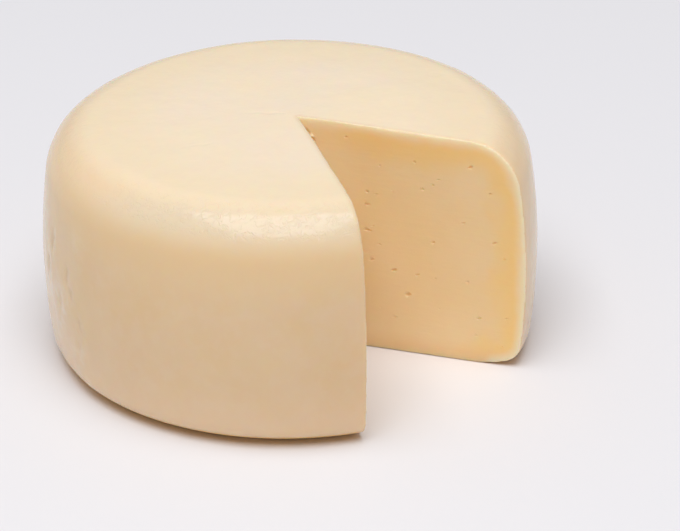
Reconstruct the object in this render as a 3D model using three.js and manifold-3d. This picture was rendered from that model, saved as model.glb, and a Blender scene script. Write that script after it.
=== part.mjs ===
// A pressed sheep's-milk cheese wheel with one wedge cut out of it, as one solid.
// Millimetres. The wheel's axis is +Z, it stands on Z = 0, and the cut opens towards +X and -Y.

import * as THREE from "three";
import { mergeVertices } from "three/addons/utils/BufferGeometryUtils.js";
import Module from "manifold-3d";

const wasm = await Module();
wasm.setup();

const { degToRad, lerp, seededRandom, smoothstep } = THREE.MathUtils;

// The wheel: a flat foot with a lifted rim, a barrelled side, a broad shoulder and a barely crowned top.
const DIAMETER = 200;
const FOOT_RIM_RADIUS = 42;
const FOOT_RIM_LEAN = degToRad(-71); // where the rim runs into the corner
const FOOT_CORNER_RADIUS = 9;
const SIDE_HEIGHT = 69.5;
const SHOULDER_RADIUS = 21.5;
const SIDE_LEAN_AT_FOOT = degToRad(-7); // below level, so the side draws in towards the foot
const SIDE_LEAN_AT_SHOULDER = degToRad(8.5);
const TOP_EDGE_SLOPE = degToRad(2.3);

// Pressing and turning leave the wheel a little out of round and its top a little uneven.
const LOBES = [
  { count: 2, height: 0.27, phase: 0.7 },
  { count: 3, height: 0.18, phase: -1.1 },
];
const TOP_SWELL_HEIGHT = 0.4;
const TOP_SWELL_LENGTH = 58; // the swell's distance for each radian of its wave
const TOP_SWELL_PHASES = [0.4, -0.9];

// The cut: two upright planes that meet just beside the axis.
const CUT_APEX = new THREE.Vector2(4, -4);
const BACK_CUT_AZIMUTH = degToRad(-20.1);
const FRONT_CUT_AZIMUTH = degToRad(-75.3);
const CUTTER_REACH = DIAMETER;
const CUTTER_OVERRUN = 20; // above and below the wheel

// Eyes: small slits in the paste that the cuts lay bare, drawn out level by the press.
// Each face is split into a grid of cells, with one eye at a seeded random place in every cell.
const EYE_COLUMNS = 4;
const EYE_ROWS = 4;
const EYE_SPAN_ALONG = [10, 82]; // from the apex towards the rind
const EYE_SPAN_UP = [12, 78];
const EYE_LENGTHS = [1.6, 3.4];
const EYE_WIDTH_SHARE = 0.45;
const EYE_DEPTH_SHARE = 0.5;
const EYE_SINK_SHARE = 0.2; // of the depth, so that an eye's rim is narrower than its inside
const EYE_TILT = degToRad(28); // either way from level
const EYE_SEED = 12;

// Fineness
const TURN_STEPS = 120;
const FOOT_RIM_STEPS = 4;
const FOOT_CORNER_STEPS = 6;
const SIDE_STEPS = 8;
const SHOULDER_STEPS = 12;
const TOP_STEPS = 7;
const MERGE_DISTANCE = 0.001;

const SHOULDER_END = Math.PI / 2 - TOP_EDGE_SLOPE;
const SIDE_RADIUS = SIDE_HEIGHT / (Math.sin(SIDE_LEAN_AT_SHOULDER) - Math.sin(SIDE_LEAN_AT_FOOT));
const FOOT_RADIUS =
  DIAMETER / 2 -
  SIDE_RADIUS * (1 - Math.cos(SIDE_LEAN_AT_FOOT)) -
  FOOT_CORNER_RADIUS * (Math.cos(SIDE_LEAN_AT_FOOT) - Math.cos(FOOT_RIM_LEAN)) -
  FOOT_RIM_RADIUS * Math.cos(FOOT_RIM_LEAN);

// The wheel's outline from the foot's centre to the top's, as arcs that run on from each other.
// An angle along an arc is also the lean of the surface there: -90 degrees faces down, 90 up.
function wheelOutline() {
  const points = [new THREE.Vector2(0, 0), new THREE.Vector2(FOOT_RADIUS, 0)];
  let lean = -Math.PI / 2;
  const addArc = (radius, endLean, steps) => {
    const pen = points.at(-1);
    const centreX = pen.x - radius * Math.cos(lean);
    const centreY = pen.y - radius * Math.sin(lean);
    const arc = new THREE.ArcCurve(centreX, centreY, radius, lean, endLean, false);
    points.push(...arc.getPoints(steps).slice(1));
    lean = endLean;
  };
  addArc(FOOT_RIM_RADIUS, FOOT_RIM_LEAN, FOOT_RIM_STEPS);
  addArc(FOOT_CORNER_RADIUS, SIDE_LEAN_AT_FOOT, FOOT_CORNER_STEPS);
  addArc(SIDE_RADIUS, SIDE_LEAN_AT_SHOULDER, SIDE_STEPS);
  addArc(SHOULDER_RADIUS, SHOULDER_END, SHOULDER_STEPS);
  addArc(points.at(-1).x / Math.cos(SHOULDER_END), Math.PI / 2, TOP_STEPS);
  points.at(-1).x = 0;
  return points;
}

// How far the wheel stands out from a true round at an azimuth.
const lobeHeight = (azimuth) =>
  LOBES.reduce((sum, { count, height, phase }) => sum + height * Math.cos(count * azimuth + phase), 0);

// How far the top stands above or below an even crown.
const topSwell = (x, y) =>
  TOP_SWELL_HEIGHT *
  Math.sin(x / TOP_SWELL_LENGTH + TOP_SWELL_PHASES[0]) *
  Math.cos(y / TOP_SWELL_LENGTH + TOP_SWELL_PHASES[1]);

// Moves a turned wheel's vertices off the perfect round. The foot stays flat.
function makeUneven(geometry) {
  const position = geometry.getAttribute("position");
  for (let i = 0; i < position.count; i++) {
    const x = position.getX(i);
    const y = position.getY(i);
    const z = position.getZ(i);
    const spread = 1 + lobeHeight(Math.atan2(y, x)) / (DIAMETER / 2);
    const lift = smoothstep(z, SIDE_HEIGHT / 2, SIDE_HEIGHT + SHOULDER_RADIUS);
    position.setXYZ(i, x * spread, y * spread, z + lift * topSwell(x, y));
  }
}

function wheelGeometry() {
  const geometry = new THREE.LatheGeometry(wheelOutline(), TURN_STEPS);
  geometry.rotateX(Math.PI / 2);
  makeUneven(geometry);
  return geometry;
}

// The wedge that was taken out, as an upright three-sided prism that overruns the wheel.
function cutterGeometry(height) {
  const farPoint = (azimuth) =>
    new THREE.Vector2(Math.cos(azimuth), Math.sin(azimuth)).multiplyScalar(CUTTER_REACH).add(CUT_APEX);
  const plan = new THREE.Shape([CUT_APEX, farPoint(FRONT_CUT_AZIMUTH), farPoint(BACK_CUT_AZIMUTH)]);
  const depth = height + 2 * CUTTER_OVERRUN;
  return new THREE.ExtrudeGeometry(plan, { depth, bevelEnabled: false }).translate(0, 0, -CUTTER_OVERRUN);
}

// One eye in a cell of a cut face.
// side is 1 where the cheese lies anticlockwise of the face, and -1 where it lies clockwise.
function eyeGeometry(column, row, azimuth, side) {
  const length = lerp(...EYE_LENGTHS, seededRandom());
  const depth = length * EYE_DEPTH_SHARE;
  const tilt = lerp(-EYE_TILT, EYE_TILT, seededRandom());
  const distance = lerp(...EYE_SPAN_ALONG, (column + seededRandom()) / EYE_COLUMNS);
  const height = lerp(...EYE_SPAN_UP, (row + seededRandom()) / EYE_ROWS);

  const along = new THREE.Vector3(Math.cos(azimuth), Math.sin(azimuth), 0);
  const inward = new THREE.Vector3(-Math.sin(azimuth), Math.cos(azimuth), 0).multiplyScalar(side);
  const lengthwise = along.clone().applyAxisAngle(inward, tilt);
  const widthwise = new THREE.Vector3().crossVectors(inward, lengthwise);
  const placed = new THREE.Matrix4()
    .makeBasis(lengthwise, widthwise, inward)
    .scale(new THREE.Vector3(length / 2, (length / 2) * EYE_WIDTH_SHARE, depth))
    .setPosition(
      CUT_APEX.x + along.x * distance + inward.x * depth * EYE_SINK_SHARE,
      CUT_APEX.y + along.y * distance + inward.y * depth * EYE_SINK_SHARE,
      height,
    );
  return new THREE.IcosahedronGeometry(1, 1).applyMatrix4(placed);
}

// A closed geometry as a solid, with shared vertices merged and collapsed triangles dropped.
function solidFrom(geometry) {
  const bare = new THREE.BufferGeometry().setAttribute("position", geometry.getAttribute("position"));
  if (geometry.index) bare.setIndex(geometry.index);
  const merged = mergeVertices(bare, MERGE_DISTANCE);
  const triangles = [];
  const index = merged.index.array;
  for (let i = 0; i < index.length; i += 3) {
    const [a, b, c] = index.slice(i, i + 3);
    if (a !== b && b !== c && c !== a) triangles.push(a, b, c);
  }
  const vertProperties = merged.getAttribute("position").array;
  const triVerts = new Uint32Array(triangles);
  return new wasm.Manifold(new wasm.Mesh({ numProp: 3, vertProperties, triVerts }));
}

function geometryFrom(solid) {
  const mesh = solid.getMesh();
  const geometry = new THREE.BufferGeometry();
  geometry.setAttribute("position", new THREE.BufferAttribute(mesh.vertProperties, mesh.numProp));
  geometry.setIndex(new THREE.BufferAttribute(mesh.triVerts, 1));
  geometry.computeVertexNormals();
  return geometry;
}

function cheeseGeometry() {
  const wheel = wheelGeometry();
  wheel.computeBoundingBox();
  let cheese = solidFrom(wheel).subtract(solidFrom(cutterGeometry(wheel.boundingBox.max.z)));
  seededRandom(EYE_SEED);
  const faces = [
    { azimuth: BACK_CUT_AZIMUTH, side: 1 },
    { azimuth: FRONT_CUT_AZIMUTH, side: -1 },
  ];
  for (const { azimuth, side } of faces) {
    for (let column = 0; column < EYE_COLUMNS; column++) {
      for (let row = 0; row < EYE_ROWS; row++) {
        cheese = cheese.subtract(solidFrom(eyeGeometry(column, row, azimuth, side)));
      }
    }
  }
  return geometryFrom(cheese);
}

const ivoryCheese = new THREE.MeshStandardMaterial({ color: 0xecd6ab, roughness: 0.45, metalness: 0 });

const cheese = new THREE.Mesh(cheeseGeometry(), ivoryCheese);
cheese.name = "cheese_wheel";

const part = new THREE.Group();
part.add(cheese);

export default part;
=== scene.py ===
import math

import bpy
from mathutils import Matrix, Vector


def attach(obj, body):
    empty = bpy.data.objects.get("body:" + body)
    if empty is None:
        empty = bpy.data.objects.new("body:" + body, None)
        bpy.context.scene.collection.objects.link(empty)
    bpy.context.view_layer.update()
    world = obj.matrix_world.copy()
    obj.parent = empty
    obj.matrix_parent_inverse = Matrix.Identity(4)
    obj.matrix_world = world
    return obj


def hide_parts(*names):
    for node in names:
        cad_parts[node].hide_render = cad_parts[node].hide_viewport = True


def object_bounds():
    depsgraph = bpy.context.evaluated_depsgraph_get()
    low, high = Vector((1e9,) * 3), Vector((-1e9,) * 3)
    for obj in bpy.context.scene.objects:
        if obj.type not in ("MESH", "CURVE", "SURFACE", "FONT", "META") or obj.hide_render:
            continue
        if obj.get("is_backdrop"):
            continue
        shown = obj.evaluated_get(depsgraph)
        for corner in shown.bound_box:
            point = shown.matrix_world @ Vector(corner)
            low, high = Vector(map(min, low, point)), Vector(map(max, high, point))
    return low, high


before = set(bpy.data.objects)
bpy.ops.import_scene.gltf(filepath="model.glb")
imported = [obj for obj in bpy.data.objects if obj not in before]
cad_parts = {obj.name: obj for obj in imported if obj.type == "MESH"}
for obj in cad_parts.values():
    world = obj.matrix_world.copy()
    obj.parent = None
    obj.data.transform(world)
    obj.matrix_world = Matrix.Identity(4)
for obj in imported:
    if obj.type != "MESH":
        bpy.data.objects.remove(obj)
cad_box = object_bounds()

MM = 0.001

# The wheel: a flat foot with a lifted rim, a barrelled side, a broad shoulder and a barely crowned top
DIAMETER = 200 * MM
FOOT_RIM_RADIUS = 42 * MM
FOOT_RIM_LEAN = math.radians(-71)  # where the rim runs into the corner
FOOT_CORNER_RADIUS = 9 * MM
SIDE_HEIGHT = 69.5 * MM
SHOULDER_RADIUS = 21.5 * MM
SIDE_LEAN_AT_FOOT = math.radians(-7)
SIDE_LEAN_AT_SHOULDER = math.radians(8.5)
TOP_EDGE_SLOPE = math.radians(2.3)

# Pressing and turning leave the wheel a little out of round and its top a little uneven.
LOBES = ((2, 0.27 * MM, 0.7), (3, 0.18 * MM, -1.1))  # count, height, phase
TOP_SWELL_HEIGHT = 0.4 * MM
TOP_SWELL_LENGTH = 58 * MM  # the swell's distance for each radian of its wave
TOP_SWELL_PHASES = (0.4, -0.9)

# Low relief of the rind: size of the bumps, height, detail
RIND_RELIEF = ((46 * MM, 0.35 * MM, 1.0), (15 * MM, 0.14 * MM, 2.0), (5.5 * MM, 0.055 * MM, 1.0))
RIND_SEED = 3.0
RELIEF_START = 1 * MM  # the height up to which the foot stays flat

# Upright wrinkles in patches of the side
WRINKLE_SIZE = 18 * MM
WRINKLE_STRETCH = 1.6  # how much longer than wide
WRINKLE_HEIGHT = 0.6 * MM
WRINKLE_FADE = (61 * MM, 83 * MM)  # the heights between which they die away under the shoulder
WRINKLE_PATCH_SIZE = 34 * MM
WRINKLE_PATCH_EDGE = (0.45, 0.65)  # the patch noise where a patch sets in and where it is full
WRINKLE_SHARES = (0.05, 0.6)  # how wrinkled the skin is outside a patch and inside it

# Sides where that changes: azimuth, start and end of the change as shares of the radius, change
WRINKLE_CHANGES = (
    (math.radians(-162), 0.8, 0.97, 1),  # wrinkled all over
    (math.radians(-105), 0.7, 0.9, -1),  # smooth
)

# Shallow dents down the side: azimuth and slant in degrees, height, half length, half width, depth
DENTS = (
    (-152.2, 8, 51.8 * MM, 4.0 * MM, 1.7 * MM, 0.55 * MM),
    (-150.4, -20, 44.8 * MM, 3.0 * MM, 1.6 * MM, 0.5 * MM),
    (-156.5, 12, 38.3 * MM, 4.5 * MM, 2.2 * MM, 0.5 * MM),
    (-146.6, -24, 33.8 * MM, 3.6 * MM, 1.6 * MM, 0.4 * MM),
    (-161.5, 6, 60.3 * MM, 5.0 * MM, 2.4 * MM, 0.6 * MM),
    (-165.0, -8, 47.8 * MM, 4.5 * MM, 2.4 * MM, 0.6 * MM),
    (-148.0, 16, 22.8 * MM, 3.5 * MM, 1.8 * MM, 0.3 * MM),
)

# Scratches on the shoulder and top: middle, direction in degrees, half length, half width, depth
SCRATCHES = (
    ((-48.2 * MM, -68.8 * MM, 95.8 * MM), -52, 2.6 * MM, 0.7 * MM, 0.35 * MM),
    ((-34.5 * MM, -28.0 * MM, 99.0 * MM), 14, 6.0 * MM, 0.7 * MM, 0.12 * MM),
    ((-7.0 * MM, 0.0 * MM, 99.0 * MM), -9, 7.0 * MM, 0.8 * MM, 0.14 * MM),
)
DENT_WANDER = 5 * MM  # how far the outlines of dents and scratches wander, and over what distance
DENT_REACH = 3  # half lengths from its middle, beyond which a dent has no depth

# The cut: two upright planes that meet just beside the axis
CUT_APEX = (4 * MM, -4 * MM)
BACK_CUT_AZIMUTH = math.radians(-20.1)
FRONT_CUT_AZIMUTH = math.radians(-75.3)
CUT_REACH = 120 * MM
CUT_OVERRUN = 4 * MM
CUT_CELL = 1.1 * MM
KNIFE_WAVE_LENGTH = 16 * MM
KNIFE_WAVE_HEIGHT = 0.16 * MM
KNIFE_WAVE_START = 2 * MM  # from the apex

# Eyes: small slits in the paste that the cuts lay bare, drawn out level by the press
EYE_SPREAD = {
    "Rows": 7,
    "Chance": 0.6,
    "Far": 83 * MM,
    "Low": 11 * MM,
    "High": 84 * MM,
    "Shortest": 0.9 * MM,
    "Longest": 2.8 * MM,
    "Tilt": math.radians(28),
}
EYE_FACES = {
    "Back cut azimuth": {"Columns": 5, "Near": 38 * MM, "Seed": 4},
    "Front cut azimuth": {"Columns": 7, "Near": 9 * MM, "Seed": 9},
}
EYE_SLIMMEST = (0.5, 0.17, 0.2)  # half length, half thickness and depth as shares of the length
EYE_FULLEST = (0.5, 0.34, 0.36)
EYE_LUMP_SIZE = 1.3 * MM
EYE_LUMP_SHIFT = 0.9 * MM  # the range over which lumps push an eye's wall

# Eyes that show on the back cut: distance from the apex, height, length, thickness, tilt in degrees
SHOWN_EYES = (
    (3.6 * MM, 93.4 * MM, 2.8 * MM, 1.6 * MM, -45),
    (6.4 * MM, 90.0 * MM, 1.6 * MM, 0.8 * MM, -50),
    (20.5 * MM, 92.6 * MM, 1.6 * MM, 0.7 * MM, 10),
    (28.7 * MM, 70.1 * MM, 1.5 * MM, 0.8 * MM, -12),
    (32.5 * MM, 69.5 * MM, 1.1 * MM, 0.5 * MM, 6),
    (28.9 * MM, 64.3 * MM, 2.3 * MM, 0.5 * MM, 2),
    (28.9 * MM, 53.0 * MM, 3.2 * MM, 0.9 * MM, -8),
    (31.3 * MM, 55.3 * MM, 1.4 * MM, 0.5 * MM, 14),
    (30.6 * MM, 40.0 * MM, 1.8 * MM, 0.9 * MM, 20),
    (33.8 * MM, 47.3 * MM, 1.9 * MM, 0.4 * MM, -14),
)
SHOWN_EYE_DEPTH = 0.6  # as a share of the thickness

# A crumb left hanging where the cuts meet
CRUMB_PLACE = (5.9 * MM, 91.5 * MM)  # distance from the apex, height
CRUMB_SIZE = (0.9 * MM, 0.55 * MM, 0.6 * MM)  # half sizes
CRUMB_LUMPS = 1.4  # to each half size

# Worn edges of the cuts
FOOT_FACING = -0.98  # a face of the skin that points further down than this belongs to the foot
EDGE_DEPTH = 0.02 * MM  # how near the skin a point of the edge lies
EDGE_SHARE = 0.01  # the least share of cut faces round a point of the edge
EDGE_SPREAD_ROUNDS = 3
EDGE_WEAR_ROUNDS = 4

# Fineness
TURN_STEPS = 480
SKIN_STEP = 1.3 * MM
BALL_FINENESS = 3
WELD_DISTANCE = 0.004 * MM

# Rind patterns: size, detail, distortion
RIND_PATTERNS = {
    "clouds": (38 * MM, 3, 0),
    "blotches": (16 * MM, 2, 0),
    "flecks": (6 * MM, 3, 0),
    "crinkles": (2.8 * MM, 1, 1),
    "breaks": (3.6 * MM, 1, 0),
    "lumps": (2.2 * MM, 1, 0),
    "pores": (0.5 * MM, 2, 0),  # real ones are finer: these are as coarse as they need to be to show
}
LUMP_HEIGHT = 0.04 * MM
CRINKLE_DEPTH = 0.085 * MM
CRINKLE_LEVEL = 92.3 * MM  # the height round the shoulder where the crinkles lie
CRINKLES_OFF_HIGHLIGHT_SIDE = 0.35  # how deep they are away from the highlight side, as a share
PORE_DEPTH = 0.004 * MM
HIGHLIGHT_SIDE = math.radians(-95)  # the azimuth of the shoulder's softbox highlight, where the shoulder is painted palest and is most crinkled

# How the rind changes from place to place: what it follows, from, to, value at each end
RIND_CHANGES = {
    "cloudy": ("clouds", 0.3, 0.7, 0, 1),
    "blotchy": ("blotches", 0.3, 0.7, 0, 0.5),
    "roughness": ("blotches", 0.2, 0.8, 0.13, 0.21),
    "towards rim": ("from axis", 40 * MM, 74 * MM, 0, 1),
    # painted light: the side is paler towards the foot, standing in for light bounced up from the floor
    "towards foot": ("height", 3 * MM, 34 * MM, 0.5, 0),
    # painted glow: an amber band on the lowest few millimetres of the foot rim, which warms the contact
    # shadow under it
    "moist": ("height", 2.4 * MM, 5.5 * MM, 0.95, 0),
    "on foot rim": ("from axis", 64 * MM, 80 * MM, 0, 1),
    # painted sheen: the wrinkle crests are whiter, standing in for their grazing reflection of the pale floor
    "bloom": ("wrinkle", -0.1 * MM, 0.3 * MM, 0, 1),
    "flecked": ("flecks", 0.4, 0.68, 0.06, 0.5),
    # painted shade: brown in the hollows of the dents
    "stained": ("crease", -0.5 * MM, -0.1 * MM, 0.2, 0),
    "under shoulder": ("height", 58 * MM, 80 * MM, 0, 0.8),
    "on shoulder": ("height", 79 * MM, 92 * MM, 0, 1),
    # painted highlight tone: towards the side where the softbox highlight falls, the shoulder is paler and
    # less red so that the highlight reads white; the crinkles are deepest there too
    "wiped": ("towards highlight side", 0.5, 0.82, 0, 1),
    "on top": ("height", 93 * MM, 98.3 * MM, 0, 1),
    # painted shade: darker rind along the cut, toning down the highlight on the worn edge
    "dried": ("from_cut", 0, 2.5 * MM, 0.6, 0),
    "crinkle": ("off crinkle line", 0, 0.06, -1, 0),
    "crinkled": ("off crinkle level", 3 * MM, 6 * MM, 1, 0),
    "unbroken": ("breaks", 0.3, 0.5, 0, 1),
}

# Paste patterns: size, detail
PASTE_PATTERNS = {
    "drift": (14 * MM, 2),
    "clouds": (22 * MM, 3),
    "grain": (0.9 * MM, 3),  # the real grain is finer: this is as coarse as it needs to be to show
}
DRIFT_SPAN = (0.3, 0.7)  # the part of the drift pattern that counts
DRIFT_SHARES = (0.75, 1.25)  # how much shallower or deeper it makes the rind edge and the band
CLOUD_SPAN = (0.35, 0.65)
GRAIN_SPAN = (0.3, 0.7)
GRAIN_ROUGHNESS = (0.42, 0.58)
KNIFE_DRAG_SIZE = 9 * MM
KNIFE_DRAG_STRETCH = 5  # how much longer than high
KNIFE_DRAG_DEPTH = 0.12 * MM
GRAIN_DEPTH = 0.04 * MM
DULL_EDGE = (1 * MM, 2.5 * MM)  # the depths between which the dull rind edge turns to paste
DULL_EDGE_ROUGHNESS = 0.85

# How the paste changes from place to place: what it follows, from, to, value at each end
PASTE_CHANGES = {
    "core": ("skin depth", 4.5 * MM, 17 * MM, 0, 1),
    # painted light: paler paste near the axis, brightening the corner where the two cut faces shade each
    # other
    "painted light near axis": ("from axis", 8 * MM, 36 * MM, 0.7, 0),
    # painted shade: darker, redder paste near the floor, standing in for the shade at the foot and making up
    # for red light the scattering loses there
    "painted foot shade": ("height", 0, 10 * MM, 1, 0),
    "rind edge": ("skin depth", 0.3 * MM, 5.5 * MM, 1, 0),
}

# Light enters the cheese by a few millimetres, red light furthest.
LIGHT_IN_CHEESE = {
    "Subsurface Weight": 0.7,
    "Subsurface Radius": (1.0, 0.6, 0.3),
    "Subsurface Scale": 8 * MM,
}
OILED_SURFACE = {"IOR": 1.36, "Coat Weight": 0.1, "Coat Roughness": 0.1}
CUT_SURFACE = {"IOR": 1.3}

# Studio, in metres
FLOOR_HALF_WIDTH = 3.0
FLOOR_ROUGHNESS = 0.8
SOFTBOX_SIZE = (2.95, 3.45)
SOFTBOX_PLACE = (-0.22, -1.38, 3.7)
SOFTBOX_POWER = 151
SOFTBOX_COLOUR = (0.95, 0.98, 1.0)
ROOM_BRIGHTNESS = 0.38

# Camera: its place, what it looks at and its tilt, found from the wheel's outline in the picture
IMAGE_WIDTH = 680
FOCAL_LENGTH_PIXELS = 3078.5
SENSOR_WIDTH = 36.0
CAMERA_PLACE = Vector((0, -1125.83, 593.59)) * MM
CAMERA_AIM = Vector((19.3, -40.07, 50.43)) * MM
CAMERA_ROLL = math.radians(-0.87)


def linear(colour):
    """An sRGB hex colour as linear red, green, blue and alpha."""
    channels = [int(colour[i:i + 2], 16) / 255 for i in (1, 3, 5)]
    return tuple(c / 12.92 if c <= 0.04045 else ((c + 0.055) / 1.055) ** 2.4 for c in channels) + (1.0,)


def outward_at(azimuth):
    """The level direction out from the wheel's axis at an azimuth."""
    return Vector((math.cos(azimuth), math.sin(azimuth), 0))


def add(tree, kind, links=None, out=None, **settings):
    """Adds one node with its settings and links, and returns its output named out, or else its first."""
    node = tree.nodes.new(kind)
    for name, value in settings.items():
        setattr(node, name, value)
    inputs = [socket for socket in node.inputs if socket.enabled]
    for key, value in (links or {}).items():
        socket = inputs[key] if isinstance(key, int) else next(s for s in inputs if s.name == key)
        for source in value if isinstance(value, list) else [value]:
            if isinstance(source, bpy.types.NodeSocket):
                tree.links.new(source, socket)
            else:
                socket.default_value = source
    outputs = [socket for socket in node.outputs if socket.enabled]
    return next(s for s in outputs if out in (None, s.name)) if outputs else node


def new_tree(name, inputs):
    """An empty geometry tree with the inputs named, each with its socket type and first value."""
    tree = bpy.data.node_groups.new(name, "GeometryNodeTree")
    for label, (kind, value) in inputs.items():
        tree.interface.new_socket(label, in_out="INPUT", socket_type=kind).default_value = value
    tree.interface.new_socket("Geometry", in_out="OUTPUT", socket_type="NodeSocketGeometry")
    return tree, tree.nodes.new("NodeGroupInput").outputs


def wheel_arcs():
    """The wheel's outline from foot to top as named arcs that run on from each other.

    An angle along an arc is also the lean of the skin there: -90 degrees faces down, 90 up.
    The flat foot's radius and the wheel's height come with the arcs.
    """
    shoulder_end = math.pi / 2 - TOP_EDGE_SLOPE
    side_radius = SIDE_HEIGHT / (math.sin(SIDE_LEAN_AT_SHOULDER) - math.sin(SIDE_LEAN_AT_FOOT))
    out = DIAMETER / 2 - side_radius * (1 - math.cos(SIDE_LEAN_AT_FOOT))
    out -= FOOT_CORNER_RADIUS * (math.cos(SIDE_LEAN_AT_FOOT) - math.cos(FOOT_RIM_LEAN))
    out -= FOOT_RIM_RADIUS * math.cos(FOOT_RIM_LEAN)
    foot_radius = out
    up = 0.0
    lean = -math.pi / 2
    arcs = {}
    for name, radius, end in (
        ("foot rim", FOOT_RIM_RADIUS, FOOT_RIM_LEAN),
        ("foot corner", FOOT_CORNER_RADIUS, SIDE_LEAN_AT_FOOT),
        ("side", side_radius, SIDE_LEAN_AT_SHOULDER),
        ("shoulder", SHOULDER_RADIUS, shoulder_end),
        ("top", None, math.pi / 2),
    ):
        radius = radius or out / math.cos(lean)
        arc = {
            "Arc radius": radius,
            "Centre out": out - radius * math.cos(lean),
            "Centre up": up - radius * math.sin(lean),
            "Start lean": lean,
            "End lean": end,
            "Steps": round(radius * (end - lean) / SKIN_STEP),
        }
        arcs[name] = arc
        out = arc["Centre out"] + radius * math.cos(end)
        up = arc["Centre up"] + radius * math.sin(end)
        lean = end
    return arcs, foot_radius, up


def turned_band_tree():
    """A band of the wheel's skin: an upright arc turned once round the wheel's axis."""
    tree, given = new_tree("Turned band", {
        "Arc radius": ("NodeSocketFloat", 0.1),
        "Centre out": ("NodeSocketFloat", 0.0),
        "Centre up": ("NodeSocketFloat", 0.0),
        "Start lean": ("NodeSocketFloat", 0.0),
        "End lean": ("NodeSocketFloat", 1.0),
        "Steps": ("NodeSocketInt", 8),
        "Turn steps": ("NodeSocketInt", 48),
    })
    columns = add(tree, "ShaderNodeMath", {0: given["Turn steps"], 1: 1}, operation="ADD")
    rows = add(tree, "ShaderNodeMath", {0: given["Steps"], 1: 1}, operation="ADD")
    grid = add(tree, "GeometryNodeMeshGrid", {
        "Size X": 1, "Size Y": 1, "Vertices X": columns, "Vertices Y": rows,
    })
    place = add(tree, "ShaderNodeSeparateXYZ", {0: add(tree, "GeometryNodeInputPosition")}).node.outputs
    turn = add(tree, "ShaderNodeMapRange", {
        "Value": place["X"], "From Min": -0.5, "From Max": 0.5, "To Min": 0, "To Max": 2 * math.pi,
    })
    lean = add(tree, "ShaderNodeMapRange", {
        "Value": place["Y"], "From Min": -0.5, "From Max": 0.5,
        "To Min": given["Start lean"], "To Max": given["End lean"],
    })
    cos_lean = add(tree, "ShaderNodeMath", {0: lean}, operation="COSINE")
    sin_lean = add(tree, "ShaderNodeMath", {0: lean}, operation="SINE")
    reach = add(tree, "ShaderNodeMath", {
        0: cos_lean, 1: given["Arc radius"], 2: given["Centre out"],
    }, operation="MULTIPLY_ADD")
    height = add(tree, "ShaderNodeMath", {
        0: sin_lean, 1: given["Arc radius"], 2: given["Centre up"],
    }, operation="MULTIPLY_ADD")
    cos_turn = add(tree, "ShaderNodeMath", {0: turn}, operation="COSINE")
    sin_turn = add(tree, "ShaderNodeMath", {0: turn}, operation="SINE")
    x = add(tree, "ShaderNodeMath", {0: cos_turn, 1: reach}, operation="MULTIPLY")
    y = add(tree, "ShaderNodeMath", {0: sin_turn, 1: reach}, operation="MULTIPLY")
    skin = add(tree, "ShaderNodeCombineXYZ", {"X": x, "Y": y, "Z": height})
    band = add(tree, "GeometryNodeSetPosition", {"Geometry": grid, "Position": skin})
    add(tree, "NodeGroupOutput", {0: band})
    return tree


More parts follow.
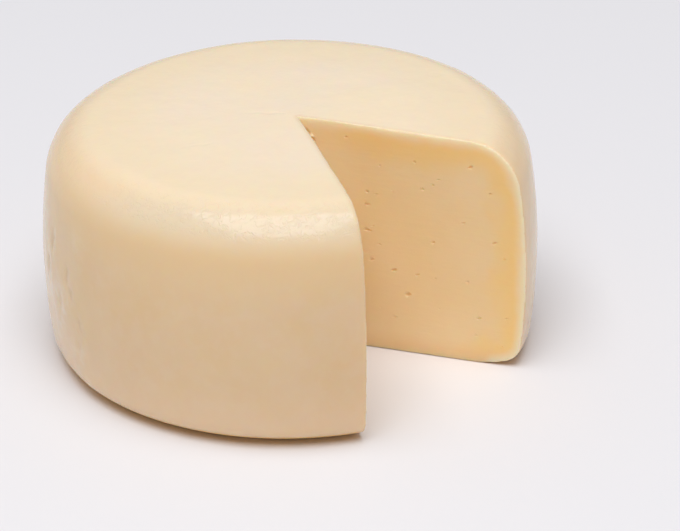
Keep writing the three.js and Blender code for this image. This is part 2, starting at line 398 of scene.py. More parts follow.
def eye_scatter_tree():
    """Eyes over one cut face, one at most in each cell of a grid, in the face's own plane.

    The face runs from the apex along X and up along Y. Eyes are solids that cut into it.
    """
    tree, given = new_tree("Eye scatter", {
        "Columns": ("NodeSocketInt", 6),
        "Rows": ("NodeSocketInt", 6),
        "Chance": ("NodeSocketFloat", 0.7),
        "Near": ("NodeSocketFloat", 0.0),
        "Far": ("NodeSocketFloat", 0.1),
        "Low": ("NodeSocketFloat", 0.0),
        "High": ("NodeSocketFloat", 0.1),
        "Shortest": ("NodeSocketFloat", 0.001),
        "Longest": ("NodeSocketFloat", 0.003),
        "Tilt": ("NodeSocketFloat", 0.5),
        "Seed": ("NodeSocketInt", 1),
    })
    grid = add(tree, "GeometryNodeMeshGrid", {
        "Size X": 1, "Size Y": 1, "Vertices X": given["Columns"], "Vertices Y": given["Rows"],
    })
    cell = add(tree, "ShaderNodeCombineXYZ", {"X": given["Columns"], "Y": given["Rows"], "Z": 1})
    stray = add(tree, "FunctionNodeRandomValue", {
        "Min": (-0.5, -0.5, 0), "Max": (0.5, 0.5, 0), "Seed": given["Seed"],
    }, data_type="FLOAT_VECTOR")
    stray = add(tree, "ShaderNodeVectorMath", {0: stray, 1: cell}, operation="DIVIDE")
    place = add(tree, "GeometryNodeInputPosition")
    place = add(tree, "ShaderNodeVectorMath", {0: place, 1: stray}, operation="ADD")
    near = add(tree, "ShaderNodeCombineXYZ", {"X": given["Near"], "Y": given["Low"]})
    far = add(tree, "ShaderNodeCombineXYZ", {"X": given["Far"], "Y": given["High"]})
    place = add(tree, "ShaderNodeMapRange", {
        "Vector": place, "From Min": (-0.5, -0.5, -0.5), "From Max": (0.5, 0.5, 0.5),
        "To Min": near, "To Max": far,
    }, data_type="FLOAT_VECTOR", clamp=False)
    points = add(tree, "GeometryNodeSetPosition", {"Geometry": grid, "Position": place})

    # Squared, so that there are more short eyes than long ones
    size = add(tree, "FunctionNodeRandomValue", {
        "Min": 0, "Max": 1, "Seed": given["Seed"],
    }, data_type="FLOAT")
    size = add(tree, "ShaderNodeMath", {0: size, 1: 2}, operation="POWER")
    length = add(tree, "ShaderNodeMapRange", {
        "Value": size, "To Min": given["Shortest"], "To Max": given["Longest"],
    })
    slim = add(tree, "FunctionNodeRandomValue", {
        "Min": EYE_SLIMMEST, "Max": EYE_FULLEST, "Seed": given["Seed"],
    }, data_type="FLOAT_VECTOR")
    scale = add(tree, "ShaderNodeVectorMath", {0: slim, "Scale": length}, operation="SCALE")
    lowest_tilt = add(tree, "ShaderNodeMath", {0: given["Tilt"], 1: -1}, operation="MULTIPLY")
    tilt = add(tree, "FunctionNodeRandomValue", {
        "Min": lowest_tilt, "Max": given["Tilt"], "Seed": given["Seed"],
    }, data_type="FLOAT")
    rotation = add(tree, "ShaderNodeCombineXYZ", {"Z": tilt})
    keep = add(tree, "FunctionNodeRandomValue", {
        "Probability": given["Chance"], "Seed": given["Seed"],
    }, data_type="BOOLEAN")
    ball = add(tree, "GeometryNodeMeshIcoSphere", {"Radius": 1, "Subdivisions": BALL_FINENESS})
    eyes = add(tree, "GeometryNodeInstanceOnPoints", {
        "Points": points, "Selection": keep, "Instance": ball, "Rotation": rotation, "Scale": scale,
    })
    add(tree, "NodeGroupOutput", {0: add(tree, "GeometryNodeRealizeInstances", {"Geometry": eyes})})
    return tree


def turned_wheel(tree, given, band_tree):
    """The whole wheel before it is cut: its bands, closed by a flat foot, then made uneven."""
    arcs, foot_radius, _ = wheel_arcs()
    bands = []
    for arc in arcs.values():
        values = {**arc, "Turn steps": given["Turn steps"]}
        bands.append(add(tree, "GeometryNodeGroup", values, node_tree=band_tree))
    foot = add(tree, "GeometryNodeMeshCircle", {
        "Vertices": given["Turn steps"], "Radius": foot_radius,
    }, fill_type="NGON")
    foot = add(tree, "GeometryNodeFlipFaces", {"Mesh": foot})
    wheel = add(tree, "GeometryNodeJoinGeometry", {"Geometry": bands + [foot]})
    wheel = add(tree, "GeometryNodeMergeByDistance", {"Geometry": wheel, "Distance": WELD_DISTANCE})
    return rind_relief(tree, given, out_of_round(tree, wheel))


def out_of_round(tree, wheel):
    """Spreads the wheel into its lobes and lifts the top into its swell."""
    point = add(tree, "GeometryNodeInputPosition")
    place = add(tree, "ShaderNodeSeparateXYZ", {0: point}).node.outputs
    azimuth = add(tree, "ShaderNodeMath", {0: place["Y"], 1: place["X"]}, operation="ARCTAN2")
    spread = 1.0
    for count, height, phase in LOBES:
        angle = add(tree, "ShaderNodeMath", {0: azimuth, 1: count, 2: phase}, operation="MULTIPLY_ADD")
        wave = add(tree, "ShaderNodeMath", {0: angle}, operation="COSINE")
        share = height / (DIAMETER / 2)
        spread = add(tree, "ShaderNodeMath", {0: wave, 1: share, 2: spread}, operation="MULTIPLY_ADD")
    across = add(tree, "ShaderNodeMath", {
        0: place["X"], 1: 1 / TOP_SWELL_LENGTH, 2: TOP_SWELL_PHASES[0],
    }, operation="MULTIPLY_ADD")
    along = add(tree, "ShaderNodeMath", {
        0: place["Y"], 1: 1 / TOP_SWELL_LENGTH, 2: TOP_SWELL_PHASES[1],
    }, operation="MULTIPLY_ADD")
    swell = add(tree, "ShaderNodeMath", {
        0: add(tree, "ShaderNodeMath", {0: across}, operation="SINE"),
        1: add(tree, "ShaderNodeMath", {0: along}, operation="COSINE"),
    }, operation="MULTIPLY")
    lift = add(tree, "ShaderNodeMapRange", {
        "Value": place["Z"], "From Min": SIDE_HEIGHT / 2, "From Max": SIDE_HEIGHT + SHOULDER_RADIUS,
        "To Min": 0, "To Max": TOP_SWELL_HEIGHT,
    }, interpolation_type="SMOOTHSTEP")
    height = add(tree, "ShaderNodeMath", {0: swell, 1: lift, 2: place["Z"]}, operation="MULTIPLY_ADD")
    x = add(tree, "ShaderNodeMath", {0: place["X"], 1: spread}, operation="MULTIPLY")
    y = add(tree, "ShaderNodeMath", {0: place["Y"], 1: spread}, operation="MULTIPLY")
    moved = add(tree, "ShaderNodeCombineXYZ", {"X": x, "Y": y, "Z": height})
    return add(tree, "GeometryNodeSetPosition", {"Geometry": wheel, "Position": moved})


def skin_reach(height):
    """How far the wheel's side stands out from the axis at a height."""
    side = wheel_arcs()[0]["side"]
    rise = height - side["Centre up"]
    return side["Centre out"] + math.sqrt(side["Arc radius"] ** 2 - rise ** 2)


def pressed(tree, point, relief, middle, along, across, half_length, half_width, depth):
    """The relief with one soft-edged dent pressed into it, drawn out along a direction of the skin."""
    gap = add(tree, "ShaderNodeVectorMath", {0: point, 1: tuple(middle)}, operation="SUBTRACT")
    spread = 0.0
    for direction, half in ((along, half_length), (across, half_width)):
        share = add(tree, "ShaderNodeVectorMath", {
            0: gap, 1: tuple(direction / half),
        }, out="Value", operation="DOT_PRODUCT")
        spread = add(tree, "ShaderNodeMath", {0: share, 1: share, 2: spread}, operation="MULTIPLY_ADD")
    beyond = add(tree, "ShaderNodeVectorMath", {0: gap}, out="Value", operation="LENGTH")
    near = add(tree, "ShaderNodeMath", {0: beyond, 1: DENT_REACH * half_length}, operation="LESS_THAN")
    hollow = add(tree, "ShaderNodeMath", {0: math.e, 1: spread}, operation="POWER")
    hollow = add(tree, "ShaderNodeMath", {0: near, 1: hollow}, operation="DIVIDE")
    return add(tree, "ShaderNodeMath", {0: hollow, 1: -depth, 2: relief}, operation="MULTIPLY_ADD")


def side_wrinkles(tree, given, point):
    """Upright wrinkles in patches of the side, all over one side of the wheel and gone from another."""
    long_way = add(tree, "ShaderNodeVectorMath", {
        0: point, 1: (1, 1, 1 / WRINKLE_STRETCH),
    }, operation="MULTIPLY")
    wrinkles = add(tree, "ShaderNodeTexNoise", {
        "Vector": long_way, "W": given["Rind seed"], "Scale": 1 / WRINKLE_SIZE,
        "Detail": 0.5, "Distortion": 0.5,
    }, noise_dimensions="4D")
    wrinkles = add(tree, "ShaderNodeMath", {0: wrinkles, 1: 0.5}, operation="SUBTRACT")
    wrinkled = add(tree, "ShaderNodeTexNoise", {
        "Vector": point, "W": given["Rind seed"], "Scale": 1 / WRINKLE_PATCH_SIZE, "Detail": 1,
    }, noise_dimensions="4D")
    wrinkled = add(tree, "ShaderNodeMapRange", {
        "Value": wrinkled, "From Min": WRINKLE_PATCH_EDGE[0], "From Max": WRINKLE_PATCH_EDGE[1],
        "To Min": WRINKLE_SHARES[0], "To Max": WRINKLE_SHARES[1],
    }, interpolation_type="SMOOTHSTEP")
    for azimuth, start, end, change in WRINKLE_CHANGES:
        toward = add(tree, "ShaderNodeVectorMath", {
            0: point, 1: tuple(outward_at(azimuth) / (DIAMETER / 2)),
        }, out="Value", operation="DOT_PRODUCT")
        toward = add(tree, "ShaderNodeMapRange", {
            "Value": toward, "From Min": start, "From Max": end,
        }, interpolation_type="SMOOTHSTEP")
        wrinkled = add(tree, "ShaderNodeMath", {
            0: toward, 1: change, 2: wrinkled,
        }, operation="MULTIPLY_ADD", use_clamp=True)
    height = add(tree, "ShaderNodeSeparateXYZ", {0: point}, out="Z")
    below_shoulder = add(tree, "ShaderNodeMapRange", {
        "Value": height, "From Min": WRINKLE_FADE[0], "From Max": WRINKLE_FADE[1],
        "To Min": 2 * WRINKLE_HEIGHT, "To Max": 0,
    }, interpolation_type="SMOOTHSTEP")
    wrinkles = add(tree, "ShaderNodeMath", {0: wrinkles, 1: below_shoulder}, operation="MULTIPLY")
    return add(tree, "ShaderNodeMath", {0: wrinkles, 1: wrinkled}, operation="MULTIPLY")


def rind_relief(tree, given, wheel):
    """Raises low bumps and presses dents into the skin, and leaves the foot flat."""
    point = add(tree, "GeometryNodeInputPosition")
    relief = 0.0
    for size, height, detail in RIND_RELIEF:
        bumps = add(tree, "ShaderNodeTexNoise", {
            "Vector": point, "W": given["Rind seed"], "Scale": 1 / size, "Detail": detail,
        }, noise_dimensions="4D")
        bumps = add(tree, "ShaderNodeMath", {0: bumps, 1: 0.5}, operation="SUBTRACT")
        relief = add(tree, "ShaderNodeMath", {0: bumps, 1: 2 * height, 2: relief}, operation="MULTIPLY_ADD")
    wrinkles = side_wrinkles(tree, given, point)
    relief = add(tree, "ShaderNodeMath", {0: wrinkles, 1: relief}, operation="ADD")

    wander = add(tree, "ShaderNodeTexNoise", {
        "Vector": point, "Scale": 1 / DENT_WANDER, "Detail": 1,
    }, out="Color")
    wander = add(tree, "ShaderNodeVectorMath", {0: wander, 1: (0.5, 0.5, 0.5)}, operation="SUBTRACT")
    astray = add(tree, "ShaderNodeVectorMath", {
        0: wander, 1: (DENT_WANDER, DENT_WANDER, DENT_WANDER), 2: point,
    }, operation="MULTIPLY_ADD")
    creases = 0.0
    for degrees, slant, height, *sizes in DENTS:
        outward = outward_at(math.radians(degrees))
        lean = math.radians(slant)
        round_about = Vector((-outward.y, outward.x, 0))
        middle = outward * skin_reach(height) + Vector((0, 0, height))
        along = Vector((0, 0, math.cos(lean))) + round_about * math.sin(lean)
        creases = pressed(tree, astray, creases, middle, along, outward.cross(along), *sizes)
    relief = add(tree, "ShaderNodeMath", {0: creases, 1: relief}, operation="ADD")
    for middle, degrees, *sizes in SCRATCHES:
        along = outward_at(math.radians(degrees))
        across = Vector((-along.y, along.x, 0))
        relief = pressed(tree, astray, relief, middle, along, across, *sizes)

    clear_of_foot = add(tree, "ShaderNodeMapRange", {
        "Value": add(tree, "ShaderNodeSeparateXYZ", {0: point}, out="Z"),
        "From Min": RELIEF_START, "From Max": FOOT_CORNER_RADIUS, "To Min": 0, "To Max": 1,
    }, interpolation_type="SMOOTHSTEP")
    relief = add(tree, "ShaderNodeMath", {0: relief, 1: clear_of_foot}, operation="MULTIPLY")
    for name, height in (("wrinkle", wrinkles), ("crease", creases), ("relief", relief)):
        wheel = add(tree, "GeometryNodeStoreNamedAttribute", {
            "Geometry": wheel, "Name": name, "Value": height,
        }, data_type="FLOAT", domain="POINT")
    relief = add(tree, "GeometryNodeInputNamedAttribute", {"Name": "relief"}, data_type="FLOAT")
    shift = add(tree, "ShaderNodeVectorMath", {
        0: add(tree, "GeometryNodeInputNormal"), "Scale": relief,
    }, operation="SCALE")
    return add(tree, "GeometryNodeSetPosition", {"Geometry": wheel, "Offset": shift})


def wedge_cutter(tree, given, wheel_height):
    """The cutter for the gap, with fine cells on its two sides and a slight wave from the knife."""
    columns = round(CUT_REACH / CUT_CELL) + 1
    rows = round((wheel_height + 2 * CUT_OVERRUN) / CUT_CELL) + 1
    block = add(tree, "GeometryNodeMeshCube", {
        "Size": (1, 1, 1), "Vertices X": columns, "Vertices Y": 2, "Vertices Z": rows,
    })
    place = add(tree, "ShaderNodeSeparateXYZ", {0: add(tree, "GeometryNodeInputPosition")}).node.outputs
    reach = add(tree, "ShaderNodeMapRange", {
        "Value": place["X"], "From Min": -0.5, "From Max": 0.5, "To Min": 0, "To Max": CUT_REACH,
    })
    azimuth = add(tree, "ShaderNodeMapRange", {
        "Value": place["Y"], "From Min": -0.5, "From Max": 0.5,
        "To Min": given["Front cut azimuth"], "To Max": given["Back cut azimuth"],
    })
    height = add(tree, "ShaderNodeMapRange", {
        "Value": place["Z"], "From Min": -0.5, "From Max": 0.5,
        "To Min": -CUT_OVERRUN, "To Max": wheel_height + CUT_OVERRUN,
    })
    cos_azimuth = add(tree, "ShaderNodeMath", {0: azimuth}, operation="COSINE")
    sin_azimuth = add(tree, "ShaderNodeMath", {0: azimuth}, operation="SINE")
    x = add(tree, "ShaderNodeMath", {0: cos_azimuth, 1: reach, 2: CUT_APEX[0]}, operation="MULTIPLY_ADD")
    y = add(tree, "ShaderNodeMath", {0: sin_azimuth, 1: reach, 2: CUT_APEX[1]}, operation="MULTIPLY_ADD")
    moved = add(tree, "ShaderNodeCombineXYZ", {"X": x, "Y": y, "Z": height})
    wedge = add(tree, "GeometryNodeSetPosition", {"Geometry": block, "Position": moved})
    wedge = add(tree, "GeometryNodeMergeByDistance", {"Geometry": wedge, "Distance": WELD_DISTANCE})

    point = add(tree, "GeometryNodeInputPosition")
    wave = add(tree, "ShaderNodeTexNoise", {
        "Vector": point, "W": given["Rind seed"], "Scale": 1 / KNIFE_WAVE_LENGTH, "Detail": 2,
    }, noise_dimensions="4D")
    wave = add(tree, "ShaderNodeMath", {0: wave, 1: 0.5}, operation="SUBTRACT")
    from_apex = add(tree, "ShaderNodeVectorMath", {0: point, 1: (*CUT_APEX, 0)}, operation="SUBTRACT")
    from_apex = add(tree, "ShaderNodeVectorMath", {0: from_apex, 1: (1, 1, 0)}, operation="MULTIPLY")
    from_apex = add(tree, "ShaderNodeVectorMath", {0: from_apex}, out="Value", operation="LENGTH")
    height = add(tree, "ShaderNodeMapRange", {
        "Value": from_apex, "From Min": KNIFE_WAVE_START, "From Max": KNIFE_WAVE_LENGTH,
        "To Min": 0, "To Max": 2 * KNIFE_WAVE_HEIGHT,
    }, interpolation_type="SMOOTHSTEP")
    wave = add(tree, "ShaderNodeMath", {0: wave, 1: height}, operation="MULTIPLY")
    shift = add(tree, "ShaderNodeVectorMath", {
        0: add(tree, "GeometryNodeInputNormal"), "Scale": wave,
    }, operation="SCALE")
    return add(tree, "GeometryNodeSetPosition", {"Geometry": wedge, "Offset": shift})


def eye_cutters(tree, given, scatter_tree):
    """The eyes of both cut faces, each a lumpy slit half sunk in its face."""
    ball = add(tree, "GeometryNodeMeshIcoSphere", {"Radius": 1, "Subdivisions": BALL_FINENESS})
    shown = []
    for reach, height, length, thickness, tilt in SHOWN_EYES:
        shown.append(add(tree, "GeometryNodeTransform", {
            "Geometry": ball, "Translation": (reach, height, 0), "Rotation": (0, 0, math.radians(tilt)),
            "Scale": (length / 2, thickness / 2, thickness * SHOWN_EYE_DEPTH),
        }))
    faces = []
    for azimuth, spread in EYE_FACES.items():
        eyes = add(tree, "GeometryNodeGroup", {**EYE_SPREAD, **spread}, node_tree=scatter_tree)
        if azimuth == "Back cut azimuth":
            eyes = add(tree, "GeometryNodeJoinGeometry", {"Geometry": [eyes] + shown})
        upright = add(tree, "ShaderNodeCombineXYZ", {"X": math.pi / 2, "Z": given[azimuth]})
        faces.append(add(tree, "GeometryNodeTransform", {
            "Geometry": eyes, "Translation": (*CUT_APEX, 0), "Rotation": upright,
        }))
    eyes = add(tree, "GeometryNodeJoinGeometry", {"Geometry": faces})
    lumps = add(tree, "ShaderNodeTexNoise", {
        "Vector": add(tree, "GeometryNodeInputPosition"), "Scale": 1 / EYE_LUMP_SIZE, "Detail": 1,
    }, out="Color")
    lumps = add(tree, "ShaderNodeVectorMath", {0: lumps, 1: (0.5, 0.5, 0.5)}, operation="SUBTRACT")
    lumps = add(tree, "ShaderNodeVectorMath", {0: lumps, "Scale": EYE_LUMP_SHIFT}, operation="SCALE")
    return add(tree, "GeometryNodeSetPosition", {"Geometry": eyes, "Offset": lumps})


def crumb(tree, given):
    """A crumb of paste that clings to the back cut."""
    ball = add(tree, "GeometryNodeMeshIcoSphere", {"Radius": 1, "Subdivisions": BALL_FINENESS})
    lumps = add(tree, "ShaderNodeTexNoise", {
        "Vector": add(tree, "GeometryNodeInputPosition"), "Scale": CRUMB_LUMPS, "Detail": 1,
    }, out="Color")
    lumps = add(tree, "ShaderNodeVectorMath", {0: lumps, 1: (0.5, 0.5, 0.5)}, operation="SUBTRACT")
    ball = add(tree, "GeometryNodeSetPosition", {"Geometry": ball, "Offset": lumps})
    ball = add(tree, "GeometryNodeTransform", {
        "Geometry": ball, "Translation": (*CRUMB_PLACE, 0), "Scale": CRUMB_SIZE,
    })
    upright = add(tree, "ShaderNodeCombineXYZ", {"X": math.pi / 2, "Z": given["Back cut azimuth"]})
    return add(tree, "GeometryNodeTransform", {
        "Geometry": ball, "Translation": (*CUT_APEX, 0), "Rotation": upright,
    })


def cheese_tree(rind, paste):
    """The finished cheese: the wheel less its gap and its eyes, with worn cut edges and two finishes."""
    tree, given = new_tree("Cheese wheel", {
        "Turn steps": ("NodeSocketInt", TURN_STEPS),
        "Back cut azimuth": ("NodeSocketFloat", BACK_CUT_AZIMUTH),
        "Front cut azimuth": ("NodeSocketFloat", FRONT_CUT_AZIMUTH),
        "Rind seed": ("NodeSocketFloat", RIND_SEED),
    })
    wheel = turned_wheel(tree, given, turned_band_tree())
    wedge = wedge_cutter(tree, given, wheel_arcs()[2])
    inside = []
    for surface in (wedge, eye_cutters(tree, given, eye_scatter_tree()), crumb(tree, given)):
        inside.append(add(tree, "GeometryNodeStoreNamedAttribute", {
            "Geometry": surface, "Name": "bared", "Value": True,
        }, data_type="BOOLEAN", domain="FACE"))
    cheese = add(tree, "GeometryNodeMeshBoolean", {
        "Mesh 1": wheel, "Mesh 2": inside[:2],
    }, operation="DIFFERENCE", solver="MANIFOLD")
    cheese = add(tree, "GeometryNodeMeshBoolean", {
        "Mesh": [cheese, inside[2]],
    }, operation="UNION", solver="MANIFOLD")

    # Distances that the wear and the finishes follow: to all the skin, to it without the foot, and to the cut
    facing = add(tree, "ShaderNodeSeparateXYZ", {0: add(tree, "GeometryNodeInputNormal")}, out="Z")
    foot = add(tree, "FunctionNodeCompare", {"A": facing, "B": FOOT_FACING}, operation="LESS_THAN")
    skin = add(tree, "GeometryNodeDeleteGeometry", {"Geometry": wheel, "Selection": foot}, domain="FACE")
    for name, surface in (("depth", wheel), ("skin_depth", skin), ("from_cut", wedge)):
        distance = add(tree, "GeometryNodeProximity", {
            "Geometry": surface,
        }, out="Distance", target_element="FACES")
        cheese = add(tree, "GeometryNodeStoreNamedAttribute", {
            "Geometry": cheese, "Name": name, "Value": distance,
        }, data_type="FLOAT", domain="POINT")

    # The edge between skin and cut is worn round.
    bared = add(tree, "GeometryNodeInputNamedAttribute", {"Name": "bared"}, data_type="BOOLEAN")
    beside_cut = add(tree, "GeometryNodeFieldOnDomain", {0: bared}, data_type="FLOAT", domain="FACE")
    depth = add(tree, "GeometryNodeInputNamedAttribute", {"Name": "depth"}, data_type="FLOAT")
    shallow = add(tree, "FunctionNodeCompare", {"A": depth, "B": EDGE_DEPTH}, operation="LESS_THAN")
    edge = add(tree, "ShaderNodeMath", {0: beside_cut, 1: EDGE_SHARE}, operation="GREATER_THAN")
    edge = add(tree, "ShaderNodeMath", {0: edge, 1: shallow}, operation="MULTIPLY")
    edge = add(tree, "GeometryNodeBlurAttribute", {
        "Value": edge, "Iterations": EDGE_SPREAD_ROUNDS,
    }, data_type="FLOAT")
    worn = add(tree, "GeometryNodeBlurAttribute", {
        "Value": add(tree, "GeometryNodeInputPosition"), "Iterations": EDGE_WEAR_ROUNDS, "Weight": edge,
    }, data_type="FLOAT_VECTOR")
    cheese = add(tree, "GeometryNodeSetPosition", {"Geometry": cheese, "Position": worn})

    cheese = add(tree, "GeometryNodeSetShadeSmooth", {"Geometry": cheese})
    cheese = add(tree, "GeometryNodeRealizeInstances", {"Geometry": cheese})
    cheese = add(tree, "GeometryNodeSetMaterial", {"Geometry": cheese, "Material": rind})
    cheese = add(tree, "GeometryNodeSetMaterial", {
        "Geometry": cheese, "Selection": bared, "Material": paste,
    })
    add(tree, "NodeGroupOutput", {0: cheese})
    return tree


def oiled_ivory_rind():
    """Pressed cheese rind, wiped with oil.

    It gives the eye a smooth waxy skin, faintly blotched, with a soft gloss that breaks up.
    """
    material = bpy.data.materials.new("oiled ivory cheese rind")
    material.use_nodes = True
    tree = material.node_tree
    shader = tree.nodes["Principled BSDF"]
    point = add(tree, "ShaderNodeTexCoord", out="Object")

    # What the rind's changes follow
    follow = {"height": add(tree, "ShaderNodeSeparateXYZ", {0: point}, out="Z")}
    level = add(tree, "ShaderNodeVectorMath", {0: point, 1: (1, 1, 0)}, operation="MULTIPLY")
    follow["from axis"] = add(tree, "ShaderNodeVectorMath", {0: level}, out="Value", operation="LENGTH")
    follow["towards highlight side"] = add(tree, "ShaderNodeVectorMath", {
        0: point, 1: tuple(outward_at(HIGHLIGHT_SIDE) / (DIAMETER / 2)),
    }, out="Value", operation="DOT_PRODUCT")
    for name in ("wrinkle", "crease", "from_cut"):
        follow[name] = add(tree, "ShaderNodeAttribute", out="Fac", attribute_name=name)
    for name, (size, detail, distortion) in RIND_PATTERNS.items():
        follow[name] = add(tree, "ShaderNodeTexNoise", {
            "Vector": point, "Scale": 1 / size, "Detail": detail, "Distortion": distortion,
        })
    for name, value, middle in (
        ("off crinkle line", follow["crinkles"], 0.5),
        ("off crinkle level", follow["height"], CRINKLE_LEVEL),
    ):
        gap = add(tree, "ShaderNodeMath", {0: value, 1: middle}, operation="SUBTRACT")
        follow[name] = add(tree, "ShaderNodeMath", {0: gap}, operation="ABSOLUTE")
    share = {}
    for name, (followed, start, end, at_start, at_end) in RIND_CHANGES.items():
        share[name] = add(tree, "ShaderNodeMapRange", {
            "Value": follow[followed], "From Min": start, "From Max": end,
            "To Min": at_start, "To Max": at_end,
        }, interpolation_type="SMOOTHSTEP")
    # The painted glow keeps to the outer foot rim, and the painted sheen on the wrinkles keeps to the flecks.
    for name, limit in (("moist", "on foot rim"), ("bloom", "flecked")):
        share[name] = add(tree, "ShaderNodeMath", {0: share[name], 1: share[limit]}, operation="MULTIPLY")

    # Colours, each laid over those before it
    top = add(tree, "ShaderNodeMix", {
        "Factor": share["cloudy"], "A": linear("#F2DEC5"), "B": linear("#F4DFC0"),
    }, data_type="RGBA")
    top = add(tree, "ShaderNodeMix", {
        "Factor": share["towards rim"], "A": top, "B": linear("#F1DCBC"),
    }, data_type="RGBA")
    # painted highlight tone: a paler, less red shoulder towards the highlight side
    shoulder = add(tree, "ShaderNodeMix", {
        "Factor": share["wiped"], "A": linear("#ECD1AC"), "B": linear("#E5D2B5"),
    }, data_type="RGBA")
    colour = add(tree, "ShaderNodeMix", {
        "Factor": share["cloudy"], "A": linear("#E6CAA1"), "B": linear("#E4C497"),
    }, data_type="RGBA")
    for name, tint in (
        ("blotchy", linear("#E5C8A5")),
        # painted light from the floor: paler towards the foot
        ("towards foot", linear("#F0D2B0")),
        # painted glow on the foot rim, for a warm contact shadow
        ("moist", linear("#FFC037")),
        # painted sheen on the wrinkle crests
        ("bloom", linear("#EFE0CF")),
        # painted shade in the dents' hollows
        ("stained", linear("#B08A64")),
        ("under shoulder", linear("#E9CA9B")),
        ("on shoulder", shoulder),
        ("on top", top),
        # painted shade along the cut edge
        ("dried", linear("#EAC69F")),
    ):
        colour = add(tree, "ShaderNodeMix", {"Factor": share[name], "A": colour, "B": tint}, data_type="RGBA")
    tree.links.new(colour, shader.inputs["Base Color"])

    # Fine unevenness of the skin
    depth = add(tree, "ShaderNodeMapRange", {
        "Value": share["wiped"], "To Min": CRINKLES_OFF_HIGHLIGHT_SIDE, "To Max": 1,
    })
    crinkles = share["crinkle"]
    for limit in (share["crinkled"], share["unbroken"], depth):
        crinkles = add(tree, "ShaderNodeMath", {0: crinkles, 1: limit}, operation="MULTIPLY")
    skin = add(tree, "ShaderNodeBump", {
        "Height": follow["lumps"], "Strength": 1, "Distance": LUMP_HEIGHT,
    })
    skin = add(tree, "ShaderNodeBump", {
        "Height": crinkles, "Strength": 1, "Distance": CRINKLE_DEPTH, "Normal": skin,
    })
    skin = add(tree, "ShaderNodeBump", {
        "Height": follow["pores"], "Strength": 1, "Distance": PORE_DEPTH, "Normal": skin,
    })
    tree.links.new(skin, shader.inputs["Normal"])
    tree.links.new(skin, shader.inputs["Coat Normal"])
    tree.links.new(share["roughness"], shader.inputs["Roughness"])
    for name, value in {**OILED_SURFACE, **LIGHT_IN_CHEESE}.items():
        shader.inputs[name].default_value = value
    return material


def pressed_cheese_paste():
    """The dense inside of a pressed cheese, cut with a knife.

    It gives the eye a pale rind edge, a translucent yellow band under it, and then a warm beige.
    """
    material = bpy.data.materials.new("pressed cheese paste")
    material.use_nodes = True
    tree = material.node_tree
    shader = tree.nodes["Principled BSDF"]
    point = add(tree, "ShaderNodeTexCoord", out="Object")

    # What the paste's changes follow
    follow = {"height": add(tree, "ShaderNodeSeparateXYZ", {0: point}, out="Z")}
    level = add(tree, "ShaderNodeVectorMath", {0: point, 1: (1, 1, 0)}, operation="MULTIPLY")
    follow["from axis"] = add(tree, "ShaderNodeVectorMath", {0: level}, out="Value", operation="LENGTH")
    for name, (size, detail) in PASTE_PATTERNS.items():
        follow[name] = add(tree, "ShaderNodeTexNoise", {"Vector": point, "Scale": 1 / size, "Detail": detail})
    drift = add(tree, "ShaderNodeMapRange", {
        "Value": follow["drift"], "From Min": DRIFT_SPAN[0], "From Max": DRIFT_SPAN[1],
        "To Min": DRIFT_SHARES[0], "To Max": DRIFT_SHARES[1],
    })
    skin_depth = add(tree, "ShaderNodeAttribute", out="Fac", attribute_name="skin_depth")
    skin_depth = add(tree, "ShaderNodeMath", {0: skin_depth, 1: drift}, operation="MULTIPLY")
    follow["skin depth"] = skin_depth
    share = {}
    for name, (followed, start, end, at_start, at_end) in PASTE_CHANGES.items():
        share[name] = add(tree, "ShaderNodeMapRange", {
            "Value": follow[followed], "From Min": start, "From Max": end,
            "To Min": at_start, "To Max": at_end,
        }, interpolation_type="SMOOTHSTEP")

    # Colours, each laid over those before it, the first that of the band under the rind
    cloudy = add(tree, "ShaderNodeMapRange", {
        "Value": follow["clouds"], "From Min": CLOUD_SPAN[0], "From Max": CLOUD_SPAN[1],
    })
    core = add(tree, "ShaderNodeMix", {
        "Factor": cloudy, "A": linear("#F4D5A3"), "B": linear("#F5D7A9"),
    }, data_type="RGBA")
    colour = linear("#F7D28F")
    for name, tint in (
        ("core", core),
        # painted light near the axis, where the cut faces shade each other
        ("painted light near axis", linear("#FBE2B8")),
        # painted shade near the floor
        ("painted foot shade", linear("#F5C897")),
        ("rind edge", linear("#F5DFBD")),
    ):
        colour = add(tree, "ShaderNodeMix", {"Factor": share[name], "A": colour, "B": tint}, data_type="RGBA")
    tree.links.new(colour, shader.inputs["Base Color"])

    # Fine unevenness of the cut
    drawn_out = add(tree, "ShaderNodeVectorMath", {
        0: point, 1: (1, 1, KNIFE_DRAG_STRETCH),
    }, operation="MULTIPLY")
    drag = add(tree, "ShaderNodeTexNoise", {"Vector": drawn_out, "Scale": 1 / KNIFE_DRAG_SIZE, "Detail": 2})
    face = add(tree, "ShaderNodeBump", {"Height": drag, "Strength": 1, "Distance": KNIFE_DRAG_DEPTH})
    face = add(tree, "ShaderNodeBump", {
        "Height": follow["grain"], "Strength": 1, "Distance": GRAIN_DEPTH, "Normal": face,
    })
    tree.links.new(face, shader.inputs["Normal"])
    roughness = add(tree, "ShaderNodeMapRange", {
        "Value": follow["grain"], "From Min": GRAIN_SPAN[0], "From Max": GRAIN_SPAN[1],
        "To Min": GRAIN_ROUGHNESS[0], "To Max": GRAIN_ROUGHNESS[1],
    })
    roughness = add(tree, "ShaderNodeMapRange", {
        "Value": skin_depth, "From Min": DULL_EDGE[0], "From Max": DULL_EDGE[1],
        "To Min": DULL_EDGE_ROUGHNESS, "To Max": roughness,
    })
    tree.links.new(roughness, shader.inputs["Roughness"])
    for name, value in {**CUT_SURFACE, **LIGHT_IN_CHEESE}.items():
        shader.inputs[name].default_value = value
    return material


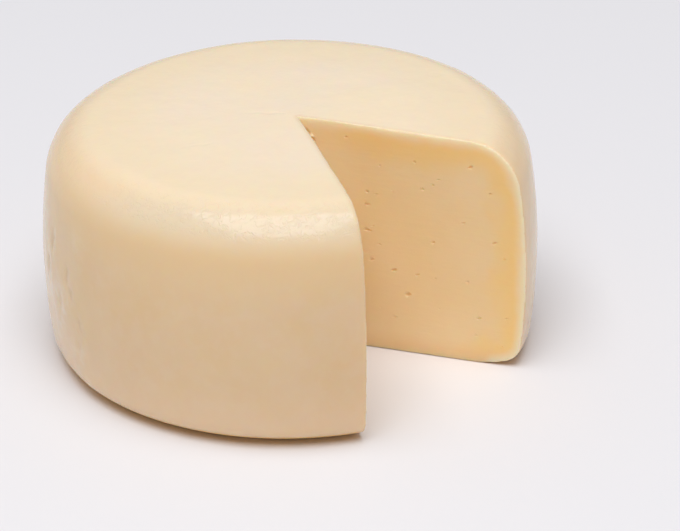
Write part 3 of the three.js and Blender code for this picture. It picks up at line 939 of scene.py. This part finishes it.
def made_piece(name, tree, values):
    """A plain mesh object made by a geometry tree from the values given for its inputs."""
    piece = bpy.data.objects.new(name, bpy.data.meshes.new(name))
    bpy.context.scene.collection.objects.link(piece)
    modifier = piece.modifiers.new("shape", "NODES")
    modifier.node_group = tree
    for item in tree.interface.items_tree:
        if item.name in values:
            modifier[item.identifier] = values[item.name]
    shaped = piece.evaluated_get(bpy.context.evaluated_depsgraph_get())
    mesh = bpy.data.meshes.new_from_object(shaped)
    piece.modifiers.remove(modifier)
    piece.data = mesh
    mesh.name = name
    return piece


def make_cheese():
    """The cheese, in the place of its solid."""
    tree = cheese_tree(oiled_ivory_rind(), pressed_cheese_paste())
    cheese = made_piece("cheese", tree, {
        "Turn steps": TURN_STEPS,
        "Back cut azimuth": BACK_CUT_AZIMUTH,
        "Front cut azimuth": FRONT_CUT_AZIMUTH,
        "Rind seed": RIND_SEED,
    })
    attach(cheese, "root")
    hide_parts("cheese_wheel")


def make_floor():
    """A plain pale floor of matt paper, which gives the eye soft shadows and no reflections."""
    half = FLOOR_HALF_WIDTH
    corners = [(-half, -half, 0), (half, -half, 0), (half, half, 0), (-half, half, 0)]
    mesh = bpy.data.meshes.new("floor")
    mesh.from_pydata(corners, [], [(0, 1, 2, 3)])
    floor = bpy.data.objects.new("floor", mesh)
    bpy.context.scene.collection.objects.link(floor)
    material = bpy.data.materials.new("matt white studio paper")
    material.use_nodes = True
    shader = material.node_tree.nodes["Principled BSDF"]
    shader.inputs["Base Color"].default_value = linear("#E7E4E6")
    shader.inputs["Roughness"].default_value = FLOOR_ROUGHNESS
    mesh.materials.append(material)
    floor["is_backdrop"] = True


def make_light():
    """A broad soft light high overhead in a pale room."""
    lamp = bpy.data.lights.new("overhead softbox", "AREA")
    lamp.shape = "RECTANGLE"
    lamp.size, lamp.size_y = SOFTBOX_SIZE
    lamp.energy = SOFTBOX_POWER
    lamp.color = SOFTBOX_COLOUR
    softbox = bpy.data.objects.new("overhead softbox", lamp)
    softbox.location = SOFTBOX_PLACE
    bpy.context.scene.collection.objects.link(softbox)
    world = bpy.data.worlds.new("pale room")
    world.use_nodes = True
    background = world.node_tree.nodes["Background"]
    background.inputs["Color"].default_value = linear("#F6F5F7")
    background.inputs["Strength"].default_value = ROOM_BRIGHTNESS
    bpy.context.scene.world = world
    bpy.context.scene.view_settings.view_transform = "Standard"


def make_camera():
    """The camera at the picture's viewing angle."""
    data = bpy.data.cameras.new("camera")
    data.sensor_width = SENSOR_WIDTH
    data.lens = SENSOR_WIDTH * FOCAL_LENGTH_PIXELS / IMAGE_WIDTH
    camera = bpy.data.objects.new("camera", data)
    facing = (CAMERA_AIM - CAMERA_PLACE).to_track_quat("-Z", "Y").to_matrix().to_4x4()
    camera.matrix_world = Matrix.Translation(CAMERA_PLACE) @ facing @ Matrix.Rotation(CAMERA_ROLL, 4, "Z")
    bpy.context.scene.collection.objects.link(camera)
    bpy.context.scene.camera = camera


make_camera()
make_floor()
make_light()
make_cheese()

boxes = {"cad": cad_box, "visual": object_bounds()}
plain = {name: [list(corner) for corner in box] for name, box in boxes.items()}
